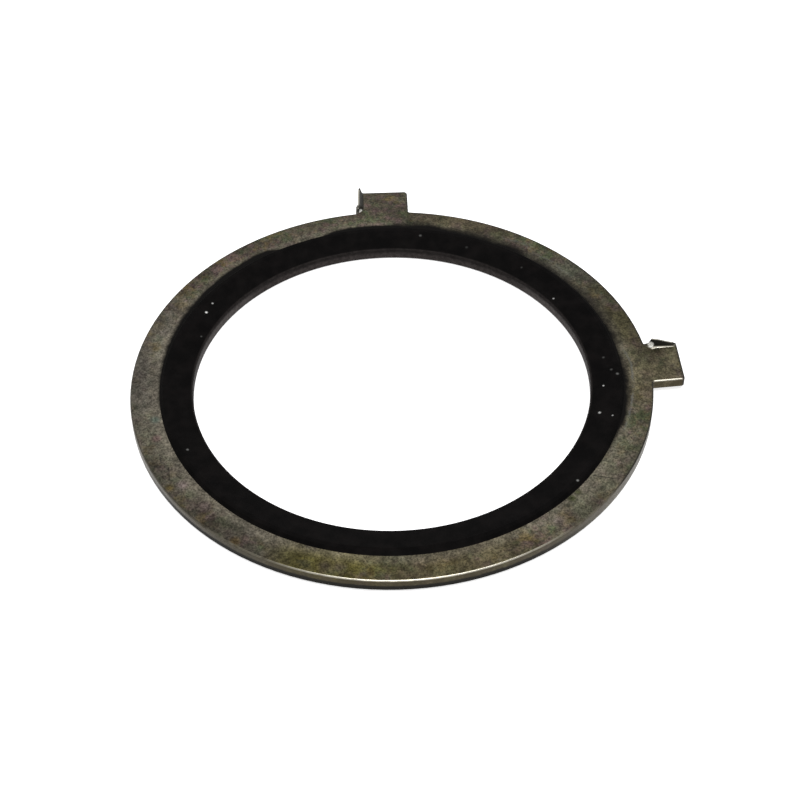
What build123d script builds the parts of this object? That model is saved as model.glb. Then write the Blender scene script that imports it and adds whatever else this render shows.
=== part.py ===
from build123d import *
import os
from collections import namedtuple
from math import hypot, radians, sqrt, tan

# A bonded sealing washer: a stamped steel ring with two locating tabs, and a rubber seal that is
# moulded round the ring's inner edge and lines the bore.
# The origin is on the bore's axis, in the plane that the washer rests on. +Z is the bore's axis and
# +X runs through the middle of the first tab. All sizes are in millimetres.

# Steel ring
bore_r = 24.2  # radius of the finished bore, in the rubber
seal_wall_w = 2.55  # rubber between the bore and the steel's inner edge
lip_cover_w = 1.45  # how far the rubber laps over each face of the steel
rim_w = 3.55  # bare steel outside the rubber
sheet_t = 1.6  # steel sheet
die_roll_r = 0.25  # outer edge of the upper face, drawn down by the punch
burr_side_break = 0.1  # outer edge of the lower face, broken in a tumbler

# Tabs
tab_w = 6.55  # across a tab where it leaves the rim
tab_t = 1.2  # a tab is pressed thinner than the ring, from below
clean_root_r = 0.3  # inside corner between the rim and a tab's clean side
fin_root_r = 0.6  # inside corner between the rim and a tab's finned side
clean_corner_r = 0.45  # tip corner on a tab's clean side
fin_corner_r = 0.12  # tip corner on a tab's finned side

# Fins: the thin wall turned up along one side of each tab
fin_crest_w = 0.18  # flat on top of a fin
fin_root_depth = 0.7  # how far below the face a fin's outer side blends into the tab's side
fin_skin = 0.04  # overlap that joins a fin's metal to the tab's

# Rubber seal
lip_height = 0.35  # sealing lip above each face of the steel
lip_land_w = 0.5  # flat land on the lip
lip_flank_w = 0.4  # run of the lip's outer flank
bore_rim_t = 1.5  # rubber thickness at the bore
bore_drop = 0.28  # the bore's rim is moulded this far below the middle of the sheet
bore_edge_r = 0.2  # rounded edges of the bore

# Sizes that follow from those above
ring_inner_r = bore_r + seal_wall_w
seal_outer_r = ring_inner_r + lip_cover_w
ring_outer_r = seal_outer_r + rim_w
tab_root = ring_outer_r - rim_w / 2
fin_side = tab_w / 2
steel_low_z = lip_height
steel_top_z = steel_low_z + sheet_t
mid_z = steel_low_z + sheet_t / 2

# A cross-section of a fin. along: how far outside the rim it stands; lean: how far the crest is
# outside the tab's side; height: of the crest above the steel; batter: how much thicker the wall
# is at its foot; foot: radius where its inner face meets the tab.
FinStation = namedtuple("FinStation", "along lean height batter foot")
# A tab. angle: of its axis about the bore, in degrees; reach: from the rim to its tip; inset: of
# its clean side from the full width, at the rim; taper: of its clean side, in degrees.
Tab = namedtuple("Tab", "angle reach inset taper fin")

falling_fin = [
    FinStation(along=-0.3, lean=0.1, height=0.06, batter=0.1, foot=0.03),
    FinStation(along=0.25, lean=-0.05, height=0.35, batter=0.12, foot=0.3),
    FinStation(along=0.62, lean=-0.12, height=1.18, batter=0.12, foot=0.6),
    FinStation(along=1.3, lean=-0.15, height=1.06, batter=0.12, foot=0.35),
    FinStation(along=2.3, lean=-0.16, height=0.72, batter=0.12, foot=0.28),
    FinStation(along=3.2, lean=-0.17, height=0.46, batter=0.12, foot=0.22),
    FinStation(along=3.7, lean=-0.18, height=0.2, batter=0.1, foot=0.12),
]
spiked_fin = [
    FinStation(along=-0.4, lean=0.5, height=0.06, batter=0.1, foot=0.03),
    FinStation(along=0.15, lean=0.45, height=0.75, batter=0.2, foot=0.6),
    FinStation(along=0.75, lean=0.2, height=0.75, batter=0.45, foot=0.3),
    FinStation(along=2.2, lean=0.18, height=0.7, batter=0.5, foot=0.2),
    FinStation(along=3.6, lean=0.14, height=0.72, batter=0.45, foot=0.25),
    FinStation(along=4.13, lean=0.03, height=0.85, batter=0.2, foot=0.3),
]
tabs = [
    Tab(angle=0, reach=3.84, inset=0.12, taper=2.8, fin=falling_fin),
    Tab(angle=88.4, reach=4.23, inset=0, taper=0, fin=spiked_fin),
]


def on_circle(radius, offset):
    """The point of a circle about the origin that lies at this offset from the X axis."""
    return (sqrt(radius**2 - offset**2), offset)


def clean_side(tab, along):
    """Offset of a tab's clean side from the tab's axis, at a distance outside the rim."""
    return tab.inset - tab_w / 2 + along * tan(radians(tab.taper))


def tip_corners(tab):
    """The two corners of a tab's tip: on its finned side and on its clean side."""
    tip = ring_outer_r + tab.reach
    return (tip, fin_side), (tip, clean_side(tab, tab.reach))


def tab_outline(tab):
    """The flat outline of a tab along +X, with its inner end buried in the ring."""
    fin_tip, clean_tip = tip_corners(tab)
    fin_root = (tab_root, fin_side)
    clean_root = (tab_root, clean_side(tab, tab_root - ring_outer_r))
    return make_face(Polyline(fin_root, fin_tip, clean_tip, clean_root, close=True))


def round_corner(outline, tab, point, radius):
    """Rounds the corner of the outline that is nearest to a point given beside the tab's axis."""
    place = Rot(0, 0, tab.angle) * Pos(*point)
    corner = outline.vertices().sort_by_distance(place.position)[0]
    return fillet(corner, radius)


def carrier_outline():
    """The ring's outer circle with its tabs, as it is cut from the sheet."""
    outline = Circle(ring_outer_r)
    for tab in tabs:
        outline += Rot(0, 0, tab.angle) * tab_outline(tab)
    for tab in tabs:
        fin_tip, clean_tip = tip_corners(tab)
        corners = [
            (on_circle(ring_outer_r, clean_side(tab, 0)), clean_root_r),
            (on_circle(ring_outer_r, fin_side), fin_root_r),
            (clean_tip, clean_corner_r),
            (fin_tip, fin_corner_r),
        ]
        for point, radius in corners:
            outline = round_corner(outline, tab, point, radius)
    return outline


def carrier_plate():
    """The ring at the full thickness of the sheet, and the tabs pressed thinner from below."""
    upper = extrude(Pos(0, 0, steel_top_z) * carrier_outline(), -tab_t)
    ring = extrude(Pos(0, 0, steel_low_z) * Circle(ring_outer_r), sheet_t)
    hole = extrude(Pos(0, 0, steel_low_z) * Circle(ring_inner_r), sheet_t)
    return upper + ring - hole


def outer_edges(plate, height):
    """The edges round the outside of the plate that lie at this height."""
    level = plate.edges().filter_by_position(Axis.Z, height, height)
    return [edge for edge in level if hypot((edge @ 0).X, (edge @ 0).Y) > seal_outer_r]


def fin_section(station):
    """A closed section across a fin and the metal under it, in a plane across the tab."""
    crest_out = fin_side + station.lean
    crest_in = crest_out - fin_crest_w
    wall_in = crest_in - station.batter
    foot_in = wall_in - station.foot
    foot_mid = station.foot / sqrt(2)
    root_out = max(fin_side - fin_skin, foot_in + fin_crest_w)
    crest_and_wall = Polyline(
        (root_out, -fin_root_depth),
        (crest_out, station.height),
        (crest_in, station.height),
        (wall_in, station.foot - fin_skin),
    )
    foot = ThreePointArc(
        crest_and_wall @ 1,
        (foot_in + foot_mid, station.foot - foot_mid - fin_skin),
        (foot_in, -fin_skin),
    )
    buried = Polyline(foot @ 1, (foot_in, -fin_root_depth), crest_and_wall @ 0)
    across = Plane(
        origin=(ring_outer_r + station.along, 0, steel_top_z),
        x_dir=(0, 1, 0),
        z_dir=(1, 0, 0),
    )
    return across * make_face([*crest_and_wall.edges(), foot, *buried.edges()])


def steel_carrier():
    """The stamped ring: cut and pressed from sheet, its edges drawn or broken, its fins turned up."""
    plate = carrier_plate()
    plate = fillet(outer_edges(plate, steel_top_z), die_roll_r)
    plate = chamfer(outer_edges(plate, steel_low_z), burr_side_break)
    for tab in tabs:
        fin = loft([fin_section(station) for station in tab.fin], ruled=True)
        plate += Rot(0, 0, tab.angle) * fin
    return plate


def seal_section():
    """Half of the seal cut through its axis, about the middle of the sheet."""
    face = sheet_t / 2
    crest = face + lip_height
    land_outer_r = seal_outer_r - lip_flank_w
    upper_lip = [
        (land_outer_r - lip_land_w, crest),
        (land_outer_r, crest),
        (seal_outer_r, face),
        (ring_inner_r, face),
    ]
    lower_lip = [(r, -z) for r, z in reversed(upper_lip)]
    bore_top = (bore_r, bore_rim_t / 2 - bore_drop)
    bore_foot = (bore_r, -bore_rim_t / 2 - bore_drop)
    section = make_face(Polyline(bore_top, *upper_lip, *lower_lip, bore_foot, close=True))
    bore_edges = section.vertices().group_by(Axis.X)[0]
    return fillet(bore_edges, bore_edge_r)


def rubber_seal():
    """The seal, turned about the bore's axis."""
    return revolve(Plane.XZ * Pos(0, mid_z) * seal_section(), Axis.Z)


os.makedirs("parts", exist_ok=True)
nodes = {"steel_carrier": steel_carrier(), "rubber_seal": rubber_seal()}
for name, solid in nodes.items():
    export_step(solid, f"parts/{name}.step")
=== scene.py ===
"""Finishes, studio and camera for a bonded sealing washer.

The washer is a stamped steel ring with two tabs and a black rubber seal moulded round its bore.
Sizes are in millimetres here, and become metres where Blender takes them.
"""

from __future__ import annotations

import functools
import logging
import math
from dataclasses import dataclass
from enum import Enum
from typing import Any, Optional, Sequence, Union

import bmesh
import bpy
from mathutils import Matrix, Vector

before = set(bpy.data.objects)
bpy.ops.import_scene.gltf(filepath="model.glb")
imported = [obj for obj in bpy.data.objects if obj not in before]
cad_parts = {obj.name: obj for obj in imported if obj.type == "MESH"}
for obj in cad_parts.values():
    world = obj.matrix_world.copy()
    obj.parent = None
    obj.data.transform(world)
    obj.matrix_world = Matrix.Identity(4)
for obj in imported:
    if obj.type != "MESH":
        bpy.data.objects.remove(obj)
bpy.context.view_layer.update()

LOG = logging.getLogger("washer")
MM = 0.001
WHITE = (1.0, 1.0, 1.0, 1.0)

Colour = tuple[float, float, float]
Polar = tuple[float, float]
Place = tuple[float, float, float]


def flat_place(radius: float, angle: float) -> tuple[float, float]:
    """Turns a place about the bore's axis into X and Y.

    Args:
        radius: The distance from the axis.
        angle: The angle, in degrees counter-clockwise from +X.

    Returns:
        X and Y.
    """
    turn = math.radians(angle)
    return radius * math.cos(turn), radius * math.sin(turn)


class Maths(Enum):
    """The Math node operations that the finishes use."""

    ADD = "ADD"
    SUBTRACT = "SUBTRACT"
    MULTIPLY = "MULTIPLY"
    DIVIDE = "DIVIDE"
    MAXIMUM = "MAXIMUM"
    ABSOLUTE = "ABSOLUTE"
    SQRT = "SQRT"
    ARCTAN2 = "ARCTAN2"


class Value:
    """A shader socket that carries a number, a vector or a colour.

    Arithmetic on a number adds Math nodes.
    """

    def __init__(self, graph: Graph, socket: bpy.types.NodeSocket) -> None:
        """Wraps a socket.

        Args:
            graph: The graph that the socket belongs to.
            socket: The output socket that carries the value.
        """
        self.graph = graph
        self.socket = socket

    def _math(self, operation: Maths, *terms: Number) -> Value:
        """Adds a Math node.

        Args:
            operation: What the node does.
            terms: Its inputs, in order.

        Returns:
            The node's result.
        """
        inputs = dict(enumerate(terms))
        return self.graph.value("ShaderNodeMath", {"operation": operation.value}, inputs)

    def __add__(self, other: Number) -> Value:
        """This plus the other."""
        return self._math(Maths.ADD, self, other)

    __radd__ = __add__

    def __sub__(self, other: Number) -> Value:
        """This less the other."""
        return self._math(Maths.SUBTRACT, self, other)

    def __rsub__(self, other: Number) -> Value:
        """The other less this."""
        return self._math(Maths.SUBTRACT, other, self)

    def __mul__(self, other: Number) -> Value:
        """This times the other."""
        return self._math(Maths.MULTIPLY, self, other)

    __rmul__ = __mul__

    def __truediv__(self, other: Number) -> Value:
        """This divided by the other."""
        return self._math(Maths.DIVIDE, self, other)

    def __abs__(self) -> Value:
        """This without its sign."""
        return self._math(Maths.ABSOLUTE, self)

    def root(self) -> Value:
        """Takes the square root.

        Returns:
            The square root of this.
        """
        return self._math(Maths.SQRT, self)

    def bearing(self, across: Number) -> Value:
        """Takes the angle of a point that is this far up.

        Args:
            across: How far across the point is.

        Returns:
            The angle from the direction across, in radians.
        """
        return self._math(Maths.ARCTAN2, self, across)

    def most(self, other: Number) -> Value:
        """Takes the larger of two numbers.

        Args:
            other: The other number.

        Returns:
            The larger of this and the other.
        """
        return self._math(Maths.MAXIMUM, self, other)

    def rise(self, low: Number, high: Number) -> Value:
        """A smooth step from 0 to 1.

        Args:
            low: Where the step is 0.
            high: Where the step is 1. It may be the smaller of the two.

        Returns:
            The step.
        """
        settings = {"interpolation_type": "SMOOTHSTEP"}
        inputs = {"Value": self, "From Min": low, "From Max": high}
        return self.graph.value("ShaderNodeMapRange", settings, inputs)


Number = Union[Value, float]


class Graph:
    """The nodes of one material, or of the surround."""

    def __init__(self, tree: bpy.types.NodeTree) -> None:
        """Empties a node tree.

        Args:
            tree: The tree to fill.
        """
        self.tree = tree
        tree.nodes.clear()

    @classmethod
    def for_material(cls, name: str) -> tuple[bpy.types.Material, Graph]:
        """Adds a material with no nodes.

        Args:
            name: The material's name.

        Returns:
            The material and its graph.
        """
        material = bpy.data.materials.new(name)
        material.use_nodes = True
        return material, cls(material.node_tree)

    def show(self, shader: bpy.types.Node) -> None:
        """Makes a shader the surface of the material.

        Args:
            shader: The shader's node.
        """
        self.node("ShaderNodeOutputMaterial", inputs={"Surface": shader.outputs[0]})

    def node(
        self,
        kind: str,
        settings: Optional[dict[str, Any]] = None,
        inputs: Optional[dict[Union[str, int], Any]] = None,
    ) -> bpy.types.Node:
        """Adds a node, sets it and joins it.

        Args:
            kind: The node's type.
            settings: Its properties. The stops of a ramp are given as "stops".
            inputs: A value, a socket or a Value for each socket, by identifier, name or number.

        Returns:
            The node.
        """
        node = self.tree.nodes.new(kind)
        for name, setting in (settings or {}).items():
            if name == "stops":
                self._set_ramp(node.color_ramp, setting)
            else:
                setattr(node, name, setting)
        for key, given in (inputs or {}).items():
            socket = self._find(node.inputs, key)
            link = given.socket if isinstance(given, Value) else given
            if isinstance(link, bpy.types.NodeSocket):
                self.tree.links.new(link, socket)
            else:
                socket.default_value = link
        return node

    def value(
        self,
        kind: str,
        settings: Optional[dict[str, Any]] = None,
        inputs: Optional[dict[Union[str, int], Any]] = None,
        output: Union[str, int] = 0,
    ) -> Value:
        """Adds a node and wraps one of its outputs.

        Args:
            kind: The node's type.
            settings: Its properties.
            inputs: What its sockets get.
            output: The output wanted, by identifier, name or number.

        Returns:
            The output.
        """
        node = self.node(kind, settings, inputs)
        return Value(self, self._find(node.outputs, output))

    @staticmethod
    def _find(sockets: Any, key: Union[str, int]) -> bpy.types.NodeSocket:
        """Finds a socket of a node.

        Args:
            sockets: The node's inputs or outputs.
            key: The socket's identifier, name or number.

        Returns:
            The socket.
        """
        if isinstance(key, int):
            return sockets[key]
        by_identifier = [socket for socket in sockets if socket.identifier == key]
        return by_identifier[0] if by_identifier else sockets[key]

    @staticmethod
    def _set_ramp(ramp: bpy.types.ColorRamp, stops: Sequence[tuple[float, Colour]]) -> None:
        """Sets the stops of a ramp that runs smoothly through them.

        Args:
            ramp: The ramp.
            stops: The place and the colour of each stop, in order.
        """
        ramp.interpolation = "CARDINAL"
        while len(ramp.elements) < len(stops):
            ramp.elements.new(1.0)
        for element, (place, colour) in zip(ramp.elements, stops):
            element.position = place
            element.color = (*colour, 1.0)

    def mix(self, first: Any, second: Any, share: Number) -> Value:
        """Mixes two colours.

        Args:
            first: The colour where the share is 0.
            second: The colour where the share is 1.
            share: How much of the second shows.

        Returns:
            The mixed colour.
        """
        inputs = {
            "Factor_Float": share,
            "A_Color": (*first, 1.0) if isinstance(first, tuple) else first,
            "B_Color": (*second, 1.0) if isinstance(second, tuple) else second,
        }
        return self.value("ShaderNodeMix", {"data_type": "RGBA"}, inputs, "Result_Color")

    def scale(self, vector: Value, factor: Number) -> Value:
        """Multiplies a colour or a vector by a number.

        Args:
            vector: The colour or the vector.
            factor: The number.

        Returns:
            The product.
        """
        settings = {"operation": "SCALE"}
        return self.value("ShaderNodeVectorMath", settings, {0: vector, "Scale": factor})


class Plan:
    """Where a point of the washer is, in millimetres, for the nodes of one material.

    Attributes:
        graph: The material's nodes.
        place: The point.
        x: Its X.
        y: Its Y.
        z: Its Z.
        radius: Its distance from the bore's axis.
        normal_x: How far the surface faces along +X, from -1 to 1.
        normal_y: How far the surface faces along +Y, from -1 to 1.
        upward: How far the surface faces up, from -1 to 1.
    """

    def __init__(self, graph: Graph) -> None:
        """Adds the nodes that measure the point.

        Args:
            graph: The material's nodes.
        """
        self.graph = graph
        place = graph.value("ShaderNodeTexCoord", output="Object")
        self.place = graph.scale(place, 1 / MM)
        split = graph.node("ShaderNodeSeparateXYZ", inputs={0: self.place})
        self.x, self.y, self.z = (Value(graph, output) for output in split.outputs)
        self.radius = (self.x * self.x + self.y * self.y).root()
        normal = graph.value("ShaderNodeTexCoord", output="Normal")
        facing = graph.node("ShaderNodeSeparateXYZ", inputs={0: normal})
        self.normal_x, self.normal_y, self.upward = (
            Value(graph, output) for output in facing.outputs
        )

    def noise(
        self, size: float, *, seed: float, detail: float = 2.0, roughness: float = 0.6
    ) -> Value:
        """Cloudy noise from 0 to 1.

        Args:
            size: The width of a cloud, in millimetres.
            seed: A number that sets it apart from other noise of its size.
            detail: How many finer layers it has.
            roughness: How strong the finer layers are.

        Returns:
            The noise.
        """
        inputs = {
            "Vector": self.place,
            "W": seed,
            "Scale": 1 / size,
            "Detail": detail,
            "Roughness": roughness,
        }
        return self.graph.value("ShaderNodeTexNoise", {"noise_dimensions": "4D"}, inputs)

    def toward(self, angle: float) -> Value:
        """The cosine of the angle between the point and a direction about the axis.

        Args:
            angle: The direction, in degrees counter-clockwise from +X.

        Returns:
            The cosine.
        """
        ahead_x, ahead_y = flat_place(1.0, angle)
        return (self.x * ahead_x + self.y * ahead_y) / self.radius

    def faces(self, angle: float) -> Value:
        """How far the surface faces a direction about the axis, from -1 to 1.

        Args:
            angle: The direction, in degrees counter-clockwise from +X.

        Returns:
            The part of the surface's normal that lies along the direction.
        """
        ahead_x, ahead_y = flat_place(1.0, angle)
        return self.normal_x * ahead_x + self.normal_y * ahead_y

    def sector(self, angle: float, half_width: float, core: float = 0.0) -> Value:
        """A mask that fades out either side of a direction about the axis.

        Args:
            angle: The middle of the sector, in degrees.
            half_width: The angle at which the mask reaches 0.
            core: The angle within which the mask is 1.

        Returns:
            The mask.
        """
        edge = math.cos(math.radians(half_width))
        inside = math.cos(math.radians(core))
        return self.toward(angle).rise(edge, inside)

    def line(self, start: Polar, end: Polar, width: float) -> Value:
        """A straight mark that goes right through the washer.

        Args:
            start: The radius and the angle, in degrees, of one end.
            end: The radius and the angle, in degrees, of the other end.
            width: Its width, in millimetres.

        Returns:
            The mark's mask.
        """
        start_x, start_y = flat_place(*start)
        end_x, end_y = flat_place(*end)
        length = math.hypot(end_x - start_x, end_y - start_y)
        along_x = (end_x - start_x) / length
        along_y = (end_y - start_y) / length
        from_x = self.x - start_x
        from_y = self.y - start_y
        along = from_x * along_x + from_y * along_y
        across = abs(from_y * along_x - from_x * along_y)
        ends = along.rise(0.0, width * 2) * along.rise(length, length - width * 2)
        return across.rise(width / 2, width / 6) * ends

    def spot(self, centre: Place, radius: float, core: float) -> Value:
        """A round mask.

        Args:
            centre: Its centre, as X, Y and Z.
            radius: Where it reaches 0.
            core: The part of the radius within which it is 1.

        Returns:
            The mask.
        """
        across, along, up = (axis - at for axis, at in zip((self.x, self.y, self.z), centre))
        distance = (across * across + along * along + up * up).root()
        return distance.rise(radius, radius * core)


@dataclass(frozen=True)
class Smear:
    """How far the rubber spread over the steel outside the seal, at one angle.

    Attributes:
        angle: Where, in degrees counter-clockwise from +X, from -90 to 270.
        reach: How far it goes outside the seal, in millimetres.
        fade: The width over which it thins out, in millimetres.
    """

    angle: float
    reach: float
    fade: float


@dataclass(frozen=True)
class Stain:
    """A tinted part of the steel's plating.

    Attributes:
        angle: Its middle, in degrees counter-clockwise from +X.
        half_width: Its angle to either side.
        colour: Its colour.
        strength: How much of the colour shows.
    """

    angle: float
    half_width: float
    colour: Colour
    strength: float


@dataclass(frozen=True)
class Blotch:
    """A small tinted patch of the steel's plating.

    Attributes:
        radius: The distance of its middle from the axis, in millimetres.
        angle: Of its middle, in degrees counter-clockwise from +X.
        size: Its radius, in millimetres.
        colour: Its colour.
        strength: How much of the colour shows.
    """

    radius: float
    angle: float
    size: float
    colour: Colour
    strength: float


@dataclass(frozen=True)
class TabPlace:
    """Where one tab is.

    Attributes:
        angle: Of the tab's axis about the bore, in degrees.
        reach: From the rim to the tab's tip, in millimetres.
        glare_place: Where the painted highlight on its fin lies: how far outside the rim, beside
            the tab's axis and above the face.
        shine: How bright its painted highlight is, up to 1.
    """

    angle: float
    reach: float
    glare_place: Place
    shine: float


@dataclass(frozen=True)
class Scratch:
    """A straight dark scratch in the steel's upper face.

    Attributes:
        start: The radius, in millimetres, and the angle, in degrees, of one end.
        end: The same for the other end.
        width: Its width, in millimetres.
        strength: How dark it is.
    """

    start: Polar
    end: Polar
    width: float
    strength: float


@dataclass(frozen=True)
class SteelFinish:
    """Dull plated sheet with broken edges, blotches and rubber flash, and with painted highlights
    and shade.

    Sizes are in millimetres, and angles in degrees counter-clockwise from +X.

    Attributes:
        seal_edge_r: The radius at which the moulded seal ends.
        rim_r: The radius of the ring's rim.
        top_z: The height of the sheet's upper face.
        low_z: The height of the sheet's lower face.
        metallic: How much of the bare plating reflects as metal.
        specular: How strongly the parts painted with shade, and the film, reflect.
        plating: The plating's main colour.
        olive: The colour of its green clouds.
        plum: The colour of its red clouds.
        straw: The colour of its yellow clouds.
        tan_fleck: The colour of its warm flecks.
        grey_fleck: The colour of its cool flecks.
        margin: Its colour beside the seal.
        pale: The colour of the painted highlight on the plating beside the film's edge.
        wall: The darker colour laid in streaks on the upright walls.
        painted_highlight: The colour of the painted highlight on the rim's front edge and on the
            fins.
        spot_glare: The colour of the painted highlight at the root of each fin.
        broken_edge: The colour of worn edges.
        shade_and_scratch: The colour of the painted shade on edges, fins and the wall's foot, and
            of scratches.
        rubber_film: The colour of the thin rubber.
        painted_highlight_angle: The side on which the rim's edge gets its painted highlight.
        foot_angle: The side on which a painted shadow darkens the foot of the rim's wall.
        shade_angle: The side on which painted shade darkens the rolled border.
        darker_face_angle: The side on which the face is darker outside its margin.
        dull_angle: The side on which the face's border is a little dull.
        margin_angle: The side on which the margin is palest.
        foot_h: The height of the painted shadow at the wall's foot, above the lower face.
        spike_h: The height above the face at which the second tab's spike is clear of its fin.
        glare_place_r: The radius of the painted highlight at the root of each fin.
        tab_half_w: Half of a tab's width, with its fin.
        tabs: The two tabs.
        smears: How far the film reaches, in order of angle.
        stains: The tinted parts of the plating.
        blotches: Its small tinted patches.
        scratches: Its scratches.
    """

    seal_edge_r: float = 28.2
    rim_r: float = 31.75
    top_z: float = 1.95
    low_z: float = 0.35
    metallic: float = 0.95
    specular: float = 0.03
    plating: Colour = (0.078, 0.068, 0.047)
    olive: Colour = (0.060, 0.068, 0.036)
    plum: Colour = (0.092, 0.064, 0.057)
    straw: Colour = (0.104, 0.078, 0.030)
    tan_fleck: Colour = (0.112, 0.086, 0.050)
    grey_fleck: Colour = (0.054, 0.062, 0.050)
    margin: Colour = (0.118, 0.105, 0.082)
    pale: Colour = (0.125, 0.128, 0.122)
    wall: Colour = (0.040, 0.032, 0.018)
    painted_highlight: Colour = (0.42, 0.40, 0.34)
    spot_glare: Colour = (0.85, 0.84, 0.78)
    broken_edge: Colour = (0.130, 0.118, 0.092)
    shade_and_scratch: Colour = (0.017, 0.016, 0.014)
    rubber_film: Colour = (0.0042, 0.0038, 0.0035)
    painted_highlight_angle: float = 273.0
    foot_angle: float = 257.0
    shade_angle: float = 58.0
    darker_face_angle: float = 245.0
    dull_angle: float = 178.0
    margin_angle: float = 185.0
    foot_h: float = 0.9
    spike_h: float = 0.77
    glare_place_r: float = 0.48
    tab_half_w: float = 3.4
    tabs: tuple[TabPlace, ...] = (
        TabPlace(angle=0.0, reach=3.84, glare_place=(0.50, 2.85, 0.40), shine=1.0),
        TabPlace(angle=88.4, reach=4.23, glare_place=(0.05, 3.00, 0.10), shine=0.45),
    )
    smears: tuple[Smear, ...] = (
        Smear(-36.0, 0.00, 0.4),
        Smear(-28.0, 0.10, 0.8),
        Smear(-23.0, 0.35, 0.8),
        Smear(-18.0, 0.60, 0.6),
        Smear(-13.0, 0.60, 1.0),
        Smear(-5.0, 0.75, 1.3),
        Smear(2.0, 0.55, 1.8),
        Smear(7.0, 0.35, 1.5),
        Smear(12.0, 0.85, 2.2),
        Smear(18.0, 0.75, 2.6),
        Smear(29.0, 0.85, 2.8),
        Smear(37.0, 0.55, 2.2),
        Smear(42.0, 0.85, 2.4),
        Smear(47.0, 0.60, 2.4),
        Smear(52.0, 1.30, 2.4),
        Smear(57.0, 1.00, 2.0),
        Smear(66.0, 1.30, 2.4),
        Smear(72.0, 0.85, 1.2),
        Smear(77.0, 1.40, 1.4),
        Smear(82.0, 1.20, 2.0),
        Smear(87.0, 0.70, 0.6),
        Smear(97.0, 0.75, 0.6),
        Smear(102.0, 0.60, 0.6),
        Smear(106.0, 0.00, 0.4),
        Smear(117.5, 0.00, 0.4),
        Smear(121.5, 0.80, 0.5),
        Smear(131.0, 0.85, 0.5),
        Smear(141.0, 0.65, 0.5),
        Smear(156.0, 0.50, 0.8),
        Smear(168.0, 0.25, 0.7),
        Smear(188.0, 0.05, 0.5),
        Smear(193.0, 0.00, 0.4),
    )
    stains: tuple[Stain, ...] = (
        Stain(-4.0, 12.0, (0.104, 0.090, 0.054), 0.8),
        Stain(17.0, 16.0, (0.056, 0.050, 0.026), 1.0),
        Stain(36.0, 10.0, (0.066, 0.068, 0.050), 0.7),
        Stain(68.0, 16.0, (0.084, 0.070, 0.040), 0.7),
        Stain(174.0, 34.0, (0.106, 0.096, 0.080), 0.8),
        Stain(205.0, 28.0, (0.088, 0.080, 0.062), 0.6),
        Stain(237.0, 16.0, (0.062, 0.056, 0.044), 0.8),
        Stain(255.0, 17.0, (0.094, 0.082, 0.026), 1.0),
        Stain(282.0, 20.0, (0.086, 0.072, 0.038), 0.8),
        Stain(320.0, 22.0, (0.094, 0.086, 0.064), 0.7),
    )
    blotches: tuple[Blotch, ...] = (
        Blotch(30.4, 252.5, 1.3, (0.058, 0.046, 0.034), 0.8),
        Blotch(30.2, 255.5, 1.2, (0.060, 0.048, 0.034), 0.7),
        Blotch(28.6, 312.3, 0.8, (0.030, 0.036, 0.012), 0.9),
        Blotch(28.5, 314.6, 0.7, (0.034, 0.038, 0.014), 0.8),
        Blotch(31.2, 232.5, 0.9, (0.110, 0.078, 0.036), 0.8),
        Blotch(31.1, 211.6, 0.9, (0.074, 0.056, 0.020), 0.9),
        Blotch(29.7, 212.5, 1.1, (0.120, 0.094, 0.088), 0.8),
        Blotch(29.6, 221.0, 1.1, (0.120, 0.090, 0.082), 0.8),
        Blotch(29.5, 196.5, 0.9, (0.120, 0.074, 0.070), 0.7),
        Blotch(29.0, 190.5, 0.9, (0.060, 0.082, 0.066), 0.8),
        Blotch(29.9, 305.5, 1.2, (0.120, 0.096, 0.086), 0.7),
    )
    scratches: tuple[Scratch, ...] = (
        Scratch((29.8, 200.8), (30.3, 204.6), 0.25, 0.6),
        Scratch((29.6, 205.4), (30.7, 210.2), 0.28, 0.6),
        Scratch((29.5, 208.9), (29.3, 211.0), 0.22, 0.5),
        Scratch((28.2, 320.9), (31.0, 323.1), 0.20, 0.7),
    )

    def make(self) -> bpy.types.Material:
        """Builds the steel's material.

        Returns:
            The material.
        """
        material, graph = Graph.for_material("dull_plated_steel")
        plan = Plan(graph)
        outside, fade, film = self._film(plan)
        sloping = plan.upward.rise(0.2, 0.45) * plan.upward.rise(0.98, 0.88)
        # The length of the normal's level part, kept off 0 where the surface faces straight up.
        level = (1 - plan.upward * plan.upward).most(0.01).root()
        # How far the surface turns towards the side on which edges get a painted highlight.
        toward = plan.faces(self.painted_highlight_angle) / level
        # The mask of painted shade, laid on below in the scratches' dark colour.
        dark = self._painted_shade(plan, sloping, toward)
        # A painted highlight along the film's edge.
        painted_highlight_line = self._painted_highlight_line(plan, outside, fade)
        colour = graph.mix(self._plating(plan), self.pale, painted_highlight_line)
        colour = self._edges(plan, colour, sloping, toward)
        colour = graph.mix(colour, self.shade_and_scratch, dark)
        colour = self._spot_glares(plan, colour)
        colour = graph.mix(colour, self.rubber_film, film)
        grain = plan.noise(0.3, seed=3.0, detail=3.0, roughness=0.65)
        sheet_roughness = (0.34 + 0.2 * grain) * (1 - sloping * 0.3)
        # Where the painted shade lies the sheet is not metallic, so that it stays dark.
        surface = graph.node(
            "ShaderNodeBsdfPrincipled",
            inputs={
                "Base Color": colour,
                "Metallic": (1 - film) * (1 - dark) * self.metallic,
                "Roughness": sheet_roughness + film * 0.15,
                "Specular IOR Level": self.specular,
                "Normal": self._relief(plan, grain, film),
            },
        )
        graph.show(surface)
        return material

    def _film(self, plan: Plan) -> tuple[Value, Value, Value]:
        """The thin rubber outside the seal.

        Args:
            plan: Where the point is.

        Returns:
            How far outside its edge the point is, the width over which it thins out, and its mask.
        """
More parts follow.
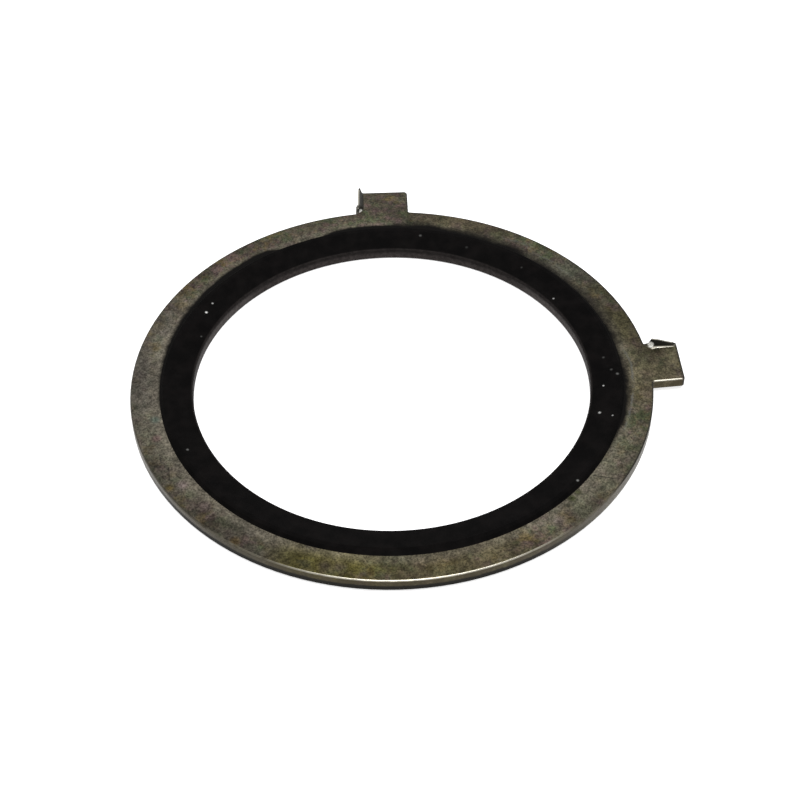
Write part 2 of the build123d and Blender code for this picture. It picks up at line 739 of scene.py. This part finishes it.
        # The ramp holds widths as shares of this many millimetres, to keep them between 0 and 1.
        widest = 4.0
        stops = [
            ((smear.angle + 90.0) / 360.0, (smear.reach / widest, smear.fade / widest, 0.0))
            for smear in self.smears
        ]
        place = (0.0 - plan.x).bearing(plan.y) / (2 * math.pi) + 0.5
        kind = "ShaderNodeValToRGB"
        spread = plan.graph.value(kind, {"stops": stops}, {"Fac": place})
        parts = plan.graph.node("ShaderNodeSeparateColor", inputs={0: spread})
        reach = Value(plan.graph, parts.outputs[0]) * widest
        fade = Value(plan.graph, parts.outputs[1]) * widest
        patchy = plan.noise(0.8, seed=1.0, detail=3.0, roughness=0.65) - 0.5
        ragged = patchy * (0.25 + fade * 0.35)
        outside = plan.radius - self.seal_edge_r + ragged - reach
        film = outside.rise(fade * 0.5, fade * -0.5) * reach.rise(0.0, 0.1)
        on_top = plan.z.rise(self.top_z - 0.1, self.top_z - 0.02)
        return outside, fade, film * on_top

    @staticmethod
    def _painted_highlight_line(plan: Plan, outside: Value, fade: Value) -> Value:
        """The mask of the painted highlight along the film's edge, a pale line on the plating in
        places.

        Args:
            plan: Where the point is.
            outside: How far outside the film's edge the point is.
            fade: The width over which the film thins out.

        Returns:
            The mask.
        """
        beyond = outside - fade * 0.25
        line = beyond.rise(-0.1, 0.05) * beyond.rise(0.35, 0.1)
        broken = plan.noise(1.2, seed=71.0).rise(0.35, 0.55)
        by_first_tab = plan.sector(-8.0, half_width=17.0, core=8.0)
        between_tabs = plan.sector(47.0, half_width=14.0, core=6.0) * 0.7
        return line * broken * by_first_tab.most(between_tabs) * 0.5

    def _edges(self, plan: Plan, colour: Value, sloping: Value, toward: Value) -> Value:
        """Lays the colours of the upright walls, of the worn edges and of the painted highlights
        on the plating.

        Args:
            plan: Where the point is.
            colour: The plating's colour.
            sloping: The mask of the surfaces between flat and upright.
            toward: The cosine of the angle from the direction in which edges get a painted
                highlight.

        Returns:
            The colour.
        """
        graph = plan.graph
        # The upright walls are darker, in streaks.
        upright = plan.upward.rise(0.45, 0.15)
        streaks = plan.noise(1.1, seed=81.0, detail=3.0, roughness=0.65).rise(0.35, 0.65)
        colour = graph.mix(colour, self.wall, upright * (0.6 + 0.35 * streaks))
        worn = plan.noise(0.8, seed=41.0).rise(0.3, 0.6)
        colour = graph.mix(colour, self.broken_edge, sloping * (0.3 + 0.5 * worn))
        # Painted highlight on the front of the rolled edge, a little patchy.
        painted_highlight = toward.rise(0.83, 0.995) * plan.upward.rise(0.4, 0.58)
        colour = graph.mix(colour, self.painted_highlight, sloping * painted_highlight * (0.7 + 0.3 * worn))
        # Painted highlight on the fins' crests and on the upper part of the second tab's fin.
        crest = self._raised(plan) * plan.upward.rise(0.9, 0.97)
        return graph.mix(colour, self.painted_highlight, crest.most(self._bright_strip(plan)))

    def _raised(self, plan: Plan) -> Value:
        """The mask of the fins, which stand above the face.

        Args:
            plan: Where the point is.

        Returns:
            The mask.
        """
        return plan.z.rise(self.top_z + 0.1, self.top_z + 0.25)

    def _near_second_tab(self, plan: Plan) -> Value:
        """The mask of the part round the second tab.

        Args:
            plan: Where the point is.

        Returns:
            The mask.
        """
        return plan.toward(self.tabs[1].angle).rise(0.9, 0.95)

    def _bright_strip(self, plan: Plan) -> Value:
        """The mask of the painted highlight on the upper part of the second tab's fin, short of
        its spike.

        Args:
            plan: Where the point is.

        Returns:
            The mask.
        """
        height = plan.z - self.top_z
        return self._near_second_tab(plan) * height.rise(0.50, 0.60) * height.rise(0.80, 0.75)

    def _painted_shade(self, plan: Plan, sloping: Value, toward: Value) -> Value:
        """The mask of painted shade on the edges, the fins, the foot of the wall and the rolled
        border, and of the second tab's spike.

        Args:
            plan: Where the point is.
            sloping: The mask of the surfaces between flat and upright.
            toward: The cosine of the angle from the direction in which edges get a painted
                highlight.

        Returns:
            The mask.
        """
        # Painted shade on the edges that face away from the light, less on those that face -X.
        spared = 1 - 0.6 * plan.faces(180.0).rise(0.3, 0.6)
        away = sloping * toward.rise(0.75, 0.6) * spared * 0.9
        # Painted shadow at the foot of the wall, where it stands just above the floor.
        uneven = plan.noise(0.9, seed=91.0) * 0.3
        foot_z = self.low_z + self.foot_h
        foot = (plan.z + uneven).rise(foot_z + 0.15, foot_z - 0.15)
        foot = foot * plan.sector(self.foot_angle, half_width=60.0, core=36.0)
        # Painted shade on the fins' steep walls, but not on the second tab's painted highlight.
        steep = self._raised(plan) * plan.upward.rise(0.85, 0.6)
        fins = steep * (0.9 - 0.9 * self._bright_strip(plan))
        spike_z = self.top_z + self.spike_h
        spike = plan.z.rise(spike_z - 0.05, spike_z + 0.05) * self._near_second_tab(plan)
        return away.most(foot * 0.98).most(fins).most(spike).most(self._rolled_border(plan))

    def _spot_glares(self, plan: Plan, colour: Value) -> Value:
        """Lays a painted highlight, a near-white spot, at the root of each fin on the plating.

        Args:
            plan: Where the point is.
            colour: The plating's colour.

        Returns:
            The colour.
        """
        above = plan.z.rise(self.top_z, self.top_z + 0.05)
        patches = plan.noise(0.25, seed=61.0).rise(0.4, 0.6)
        for tab in self.tabs:
            out, aside, up = tab.glare_place
            ahead_x, ahead_y = flat_place(1.0, tab.angle)
            radius = self.rim_r + out
            centre = (
                radius * ahead_x - aside * ahead_y,
                radius * ahead_y + aside * ahead_x,
                self.top_z + up,
            )
            # A painted highlight, patchy where the tab's shine is low.
            spot_glare = plan.spot(centre, self.glare_place_r, core=0.5) * above
            patchy = 1 - (1 - tab.shine) * patches
            colour = plan.graph.mix(colour, self.spot_glare, spot_glare * patchy * (0.4 + 0.6 * tab.shine))
        return colour

    def _rolled_border(self, plan: Plan) -> Value:
        """The mask of the painted shade on the border that the punch drew down, where it looks
        away from the light.

        Args:
            plan: Where the point is.

        Returns:
            The mask.
        """
        border = plan.radius.rise(self.rim_r - 0.42, self.rim_r - 0.12)
        border = border * plan.toward(self.shade_angle).rise(0.25, 0.6)
        # On each tab the painted shade lies along its tip instead.
        for tab in self.tabs:
            ahead_x, ahead_y = flat_place(1.0, tab.angle)
            out = plan.x * ahead_x + plan.y * ahead_y - self.rim_r
            aside = plan.y * ahead_x - plan.x * ahead_y
            on_tab = out.rise(-2.0, -1.0) * abs(aside).rise(self.tab_half_w + 0.2, self.tab_half_w)
            tip = out.rise(tab.reach - 0.45, tab.reach - 0.15)
            border = border * (1 - on_tab) + tip * on_tab
        return border * 0.8

    def _plating(self, plan: Plan) -> Value:
        """The colour of the plating.

        Args:
            plan: Where the point is.

        Returns:
            The colour.
        """
        colour = self._marks(plan, self._stains(plan, self._clouds(plan)))
        return plan.graph.scale(colour, self._brightness(plan))

    def _clouds(self, plan: Plan) -> Value:
        """The colour of the plating's clouds and flecks.

        Args:
            plan: Where the point is.

        Returns:
            The colour.
        """
        graph = plan.graph
        hue = plan.noise(1.7, seed=11.0)
        colour = graph.mix(self.plating, self.olive, hue.rise(0.50, 0.62))
        colour = graph.mix(colour, self.plum, hue.rise(0.48, 0.36))
        yellow = plan.noise(2.3, seed=31.0).rise(0.54, 0.68)
        colour = graph.mix(colour, self.straw, yellow * 0.8)
        fleck = plan.noise(0.4, seed=51.0, detail=1.0, roughness=0.5)
        colour = graph.mix(colour, self.tan_fleck, fleck.rise(0.52, 0.72) * 0.4)
        return graph.mix(colour, self.grey_fleck, fleck.rise(0.48, 0.28) * 0.4)

    def _stains(self, plan: Plan, colour: Value) -> Value:
        """Lays the stains, and the margin beside the seal, on the plating.

        Args:
            plan: Where the point is.
            colour: The plating's colour.

        Returns:
            The colour.
        """
        graph = plan.graph
        for stain in self.stains:
            cloud = plan.noise(2.6, seed=20.0 + stain.angle).rise(0.25, 0.55)
            mask = plan.sector(stain.angle, stain.half_width) * cloud * stain.strength
            colour = graph.mix(colour, stain.colour, mask)
        margin = plan.radius.rise(self.seal_edge_r + 1.9, self.seal_edge_r + 0.1)
        strength = 0.55 + 0.35 * plan.sector(self.margin_angle, half_width=70.0)
        return graph.mix(colour, self.margin, margin * strength)

    def _marks(self, plan: Plan, colour: Value) -> Value:
        """Lays the blotches and the scratches on the plating.

        Args:
            plan: Where the point is.
            colour: The plating's colour.

        Returns:
            The colour.
        """
        graph = plan.graph
        for blotch in self.blotches:
            centre = (*flat_place(blotch.radius, blotch.angle), self.top_z)
            mask = plan.spot(centre, blotch.size, core=0.1) * blotch.strength
            colour = graph.mix(colour, blotch.colour, mask)
        for scratch in self.scratches:
            mask = plan.line(scratch.start, scratch.end, scratch.width) * scratch.strength
            colour = graph.mix(colour, self.shade_and_scratch, mask)
        return colour

    def _brightness(self, plan: Plan) -> Value:
        """How bright the plating is: its clouds and grain, the painted shade towards the rim, and
        its darker sides.

        Args:
            plan: Where the point is.

        Returns:
            What its colour is multiplied by.
        """
        cloud = 0.72 + 0.37 * plan.noise(3.2, seed=5.0, roughness=0.5).rise(0.35, 0.65)
        mottle = 0.66 + 0.60 * plan.noise(0.7, seed=6.0).rise(0.3, 0.7)
        grain = 0.48 + plan.noise(0.22, seed=8.0, roughness=0.7).rise(0.3, 0.7)
        # Darker towards the rim: painted shade of the broad rolled border there.
        inward = 1.0 + 0.26 * plan.radius.rise(self.rim_r - 0.4, self.rim_r - 2.4)
        darker_face = plan.sector(self.darker_face_angle, half_width=36.0, core=15.0)
        outward = plan.radius.rise(self.seal_edge_r + 0.7, self.seal_edge_r + 1.6)
        front = 1.0 - 0.25 * darker_face * outward
        dull = plan.sector(self.dull_angle, half_width=50.0, core=20.0)
        border = plan.radius.rise(self.rim_r - 1.8, self.rim_r - 0.8)
        side = 1.0 - 0.1 * dull * border
        return cloud * mottle * grain * inward * front * side

    @staticmethod
    def _relief(plan: Plan, grain: Value, film: Value) -> Value:
        """The fine relief of the sheet's surface.

        Args:
            plan: Where the point is.
            grain: The sheet's grain.
            film: The mask of the thin rubber.

        Returns:
            The normal.
        """
        height = grain * 0.5 + film * 0.6
        inputs = {"Strength": 0.35, "Distance": 0.03 * MM, "Height": height}
        return plan.graph.value("ShaderNodeBump", inputs=inputs)


@dataclass(frozen=True)
class Speck:
    """A speck of dust on the rubber.

    Attributes:
        angle: Its place about the bore, in degrees.
        radius: Its distance from the axis, in millimetres.
        size: Its radius, in millimetres.
        strength: How much of its colour shows.
    """

    angle: float
    radius: float
    size: float
    strength: float


@dataclass(frozen=True)
class RubberFinish:
    """Black moulded rubber with specks of dust, and painted sheen and highlights on the bore's
    wall.

    Sizes are in millimetres, and angles in degrees counter-clockwise from +X.

    Attributes:
        bore_r: The radius of the bore.
        land_r: The radius at which the lip's flat land begins.
        land_z: The height of the land.
        slope: How far the seal falls towards the bore, for each millimetre inside the land.
        specular: How strongly it reflects.
        black: The rubber's colour.
        worn: Its colour where it is a little paler.
        wall_sheen: The colour of the painted sheen on the bore's wall, in patches.
        wall_highlight: The colour of the painted highlight on the wall, on two sides.
        dust: The colour of the dust.
        sheen_z: The height below which the painted sheen on the bore's wall is strongest.
        wall_highlight_angles: The two sides on which the wall gets its painted highlight.
        specks: The specks of dust.
    """

    bore_r: float = 24.2
    land_r: float = 27.3
    land_z: float = 2.3
    slope: float = 0.22
    specular: float = 0.02
    black: Colour = (0.0016, 0.0014, 0.0014)
    worn: Colour = (0.0044, 0.0037, 0.0036)
    wall_sheen: Colour = (0.056, 0.048, 0.046)
    wall_highlight: Colour = (0.125, 0.112, 0.107)
    dust: Colour = (0.80, 0.80, 0.78)
    sheen_z: float = 1.1
    wall_highlight_angles: tuple[float, float] = (24.0, 153.0)
    specks: tuple[Speck, ...] = (
        Speck(2.9, 26.20, 0.12, 0.06),
        Speck(30.8, 25.00, 0.10, 0.40),
        Speck(46.2, 26.10, 0.11, 0.04),
        Speck(64.2, 26.00, 0.14, 0.03),
        Speck(78.3, 26.65, 0.14, 0.09),
        Speck(146.1, 26.45, 0.10, 0.50),
        Speck(149.9, 26.25, 0.12, 1.00),
        Speck(158.8, 25.00, 0.10, 0.07),
        Speck(203.4, 26.75, 0.12, 0.15),
        Speck(317.0, 27.60, 0.12, 0.24),
        Speck(341.1, 27.20, 0.09, 0.40),
        Speck(342.0, 25.60, 0.13, 0.50),
        Speck(352.3, 25.70, 0.09, 0.60),
        Speck(356.1, 27.45, 0.14, 0.13),
        Speck(357.9, 26.80, 0.13, 0.06),
    )

    def make(self) -> bpy.types.Material:
        """Builds the rubber's material.

        Returns:
            The material.
        """
        material, graph = Graph.for_material("black_moulded_rubber")
        plan = Plan(graph)
        dust = self._dust(plan)
        grain = plan.noise(0.18, seed=4.0, detail=3.0)
        inputs = {"Strength": 0.3, "Distance": 0.04 * MM, "Height": grain * 0.4 + dust}
        normal = graph.value("ShaderNodeBump", inputs=inputs)
        surface = graph.node(
            "ShaderNodeBsdfPrincipled",
            inputs={
                "Base Color": graph.mix(self._rubber(plan), self.dust, dust),
                "Roughness": 0.42 + 0.18 * grain,
                "Specular IOR Level": self.specular,
                "Normal": normal,
            },
        )
        graph.show(surface)
        return material

    def _rubber(self, plan: Plan) -> Value:
        """The colour of the rubber under the dust, with the painted sheen and highlights on the
        bore's wall.

        Args:
            plan: Where the point is.

        Returns:
            The colour.
        """
        graph = plan.graph
        bloom = plan.noise(2.2, seed=2.0, detail=3.0).rise(0.35, 0.7)
        colour = graph.mix(self.black, self.worn, bloom)
        # Painted sheen on the bore's wall, in patches, strongest low down.
        wall = plan.radius.rise(self.bore_r + 0.3, self.bore_r + 0.05)
        patches = plan.noise(0.5, seed=9.0, detail=3.0, roughness=0.7).rise(0.35, 0.65)
        sheen = wall * (0.5 + 0.5 * patches)
        low = 0.35 + 0.65 * plan.z.rise(self.sheen_z + 0.25, self.sheen_z - 0.25)
        colour = graph.mix(colour, self.wall_sheen, sheen * low)
        # Painted highlight on two sides of the wall, low down.
        sides = [plan.sector(angle, half_width=24.0, core=8.0) for angle in self.wall_highlight_angles]
        side = functools.reduce(Value.most, sides)
        lower = plan.z.rise(self.sheen_z + 0.35, self.sheen_z)
        return graph.mix(colour, self.wall_highlight, sheen * side * lower * 0.6)

    def _dust(self, plan: Plan) -> Value:
        """The mask of the dust.

        Args:
            plan: Where the point is.

        Returns:
            The mask.
        """
        spots = []
        for speck in self.specks:
            height = self.land_z - max(0.0, self.land_r - speck.radius) * self.slope
            centre = (*flat_place(speck.radius, speck.angle), height)
            spots.append(plan.spot(centre, speck.size * 2, core=0.1) * speck.strength)
        return functools.reduce(Value.most, spots)


@dataclass(frozen=True)
class Washer:
    """The washer's two solids and their finishes.

    Attributes:
        steel: The finish of the steel ring.
        rubber: The finish of the seal.
    """

    steel: SteelFinish = SteelFinish()
    rubber: RubberFinish = RubberFinish()

    def dress(self) -> None:
        """Gives each solid its finish."""
        self._dress_node("steel_carrier", self.steel.make())
        self._dress_node("rubber_seal", self.rubber.make())

    @staticmethod
    def _dress_node(name: str, material: bpy.types.Material) -> None:
        """Gives one solid a finish.

        Args:
            name: The solid's name.
            material: Its finish.
        """
        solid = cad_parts[name]
        for slot in solid.material_slots:
            slot.material = material
        LOG.info("%s: %s", name, material.name)


@dataclass(frozen=True)
class Softbox:
    """A soft rectangular lamp.

    Attributes:
        name: Its name.
        azimuth: The side of the washer that it stands on, in degrees.
        elevation: Its height above the horizon, in degrees.
        distance: From the washer, in millimetres.
        width: Its width, in millimetres.
        height: Its height, in millimetres.
        radiance: How bright its face is, where 1 is white.
    """

    name: str
    azimuth: float
    elevation: float
    distance: float
    width: float
    height: float
    radiance: float

    def place(self) -> None:
        """Adds the lamp, aimed at the washer."""
        lamp = bpy.data.lights.new(self.name, "AREA")
        lamp.shape = "RECTANGLE"
        lamp.size = self.width * MM
        lamp.size_y = self.height * MM
        area = lamp.size * lamp.size_y
        lamp.energy = self.radiance * area * math.pi
        rise = math.radians(self.elevation)
        out = Vector((*flat_place(math.cos(rise), self.azimuth), math.sin(rise)))
        holder = bpy.data.objects.new(self.name, lamp)
        holder.location = out * self.distance * MM
        holder.rotation_euler = out.to_track_quat("Z", "Y").to_euler()
        bpy.context.scene.collection.objects.link(holder)


@dataclass(frozen=True)
class Studio:
    """A white floor, a white surround and soft lamps.

    Attributes:
        floor_half: Half of the floor's side, in millimetres.
        surround: How bright the surround is as a light.
        floor_grey: How much light the floor reflects.
        floor_glow: How much light the floor adds, to look white.
        lamps: The lamps.
    """

    floor_half: float = 1500.0
    surround: float = 0.25
    floor_grey: float = 0.8
    floor_glow: float = 0.72
    lamps: tuple[Softbox, ...] = (
        Softbox(
            name="top_softbox",
            azimuth=285.0,
            elevation=80.0,
            distance=700.0,
            width=380.0,
            height=380.0,
            radiance=9.0,
        ),
        Softbox(
            name="front_softbox",
            azimuth=272.0,
            elevation=50.0,
            distance=800.0,
            width=260.0,
            height=420.0,
            radiance=3.0,
        ),
    )

    def build(self) -> None:
        """Adds the floor, the surround and the lamps."""
        self._lay_floor()
        self._light_world()
        for lamp in self.lamps:
            lamp.place()

    @staticmethod
    def _seen(graph: Graph) -> Value:
        """The rays that should find white: from the camera, reflected or refracted.

        Args:
            graph: The nodes of the floor's material or of the surround.

        Returns:
            1 for those rays and 0 for the others.
        """
        path = graph.node("ShaderNodeLightPath")
        seen = Value(graph, path.outputs["Is Camera Ray"])
        seen = seen.most(Value(graph, path.outputs["Is Glossy Ray"]))
        return seen.most(Value(graph, path.outputs["Is Transmission Ray"]))

    def _lay_floor(self) -> None:
        """Adds the floor that the washer rests on, white but for the washer's shadow."""
        sheet = bpy.data.meshes.new("studio_floor")
        faces = bmesh.new()
        bmesh.ops.create_grid(faces, x_segments=1, y_segments=1, size=self.floor_half * MM)
        faces.to_mesh(sheet)
        faces.free()
        floor = bpy.data.objects.new("studio_floor", sheet)
        bpy.context.scene.collection.objects.link(floor)
        material, graph = Graph.for_material("studio_paper")
        grey = (self.floor_grey,) * 3 + (1.0,)
        paper = graph.node("ShaderNodeBsdfDiffuse", inputs={"Color": grey})
        glow_inputs = {"Color": WHITE, "Strength": self._seen(graph) * self.floor_glow}
        glow = graph.node("ShaderNodeEmission", inputs=glow_inputs)
        both = {0: paper.outputs[0], 1: glow.outputs[0]}
        graph.show(graph.node("ShaderNodeAddShader", inputs=both))
        sheet.materials.append(material)

    def _light_world(self) -> None:
        """Makes the surround white to the eye and dimmer as a light."""
        world = bpy.data.worlds.new("studio_surround")
        bpy.context.scene.world = world
        world.use_nodes = True
        graph = Graph(world.node_tree)
        seen = self._seen(graph)
        inputs = {"Color": WHITE, "Strength": seen + (1 - seen) * self.surround}
        background = graph.node("ShaderNodeBackground", inputs=inputs)
        graph.node("ShaderNodeOutputWorld", inputs={"Surface": background.outputs[0]})


@dataclass(frozen=True)
class Viewpoint:
    """The camera.

    Attributes:
        position: Its place, in millimetres.
        azimuth: How far its view is turned about +Z from looking along +Y, in degrees.
        elevation: How far its view looks down, in degrees.
        roll: How far it is turned about its view, in degrees.
        lens: Its focal length, in millimetres.
        sensor: The width of its sensor, in millimetres.
        shift_x: How far the view is shifted right, as a share of its width.
        shift_y: How far the view is shifted up, as a share of its width.
        near: The distance at which its view begins, in millimetres.
        far: The distance at which its view ends, in millimetres.
    """

    position: Place = (-7.248, -148.245, 148.191)
    azimuth: float = -3.2
    elevation: float = 45.383
    roll: float = -0.709
    lens: float = 76.933
    sensor: float = 36.0
    shift_x: float = -0.000625
    shift_y: float = 0.000625
    near: float = 10.0
    far: float = 10000.0

    def place(self) -> None:
        """Adds the camera and makes it the scene's."""
        camera = bpy.data.cameras.new("viewpoint")
        camera.lens = self.lens
        camera.sensor_width = self.sensor
        camera.shift_x = self.shift_x
        camera.shift_y = self.shift_y
        camera.clip_start = self.near * MM
        camera.clip_end = self.far * MM
        holder = bpy.data.objects.new("viewpoint", camera)
        turn = Matrix.Rotation(math.radians(self.azimuth), 4, "Z")
        tilt = Matrix.Rotation(math.radians(90 - self.elevation), 4, "X")
        roll = Matrix.Rotation(math.radians(self.roll), 4, "Z")
        place = Matrix.Translation(Vector(self.position) * MM)
        holder.matrix_world = place @ turn @ tilt @ roll
        bpy.context.scene.collection.objects.link(holder)
        bpy.context.scene.camera = holder


def main() -> None:
    """Builds the scene."""
    logging.basicConfig(level=logging.INFO)
    bpy.context.scene.view_settings.view_transform = "Standard"
    Washer().dress()
    Studio().build()
    Viewpoint().place()


if __name__ == "__main__":
    main()
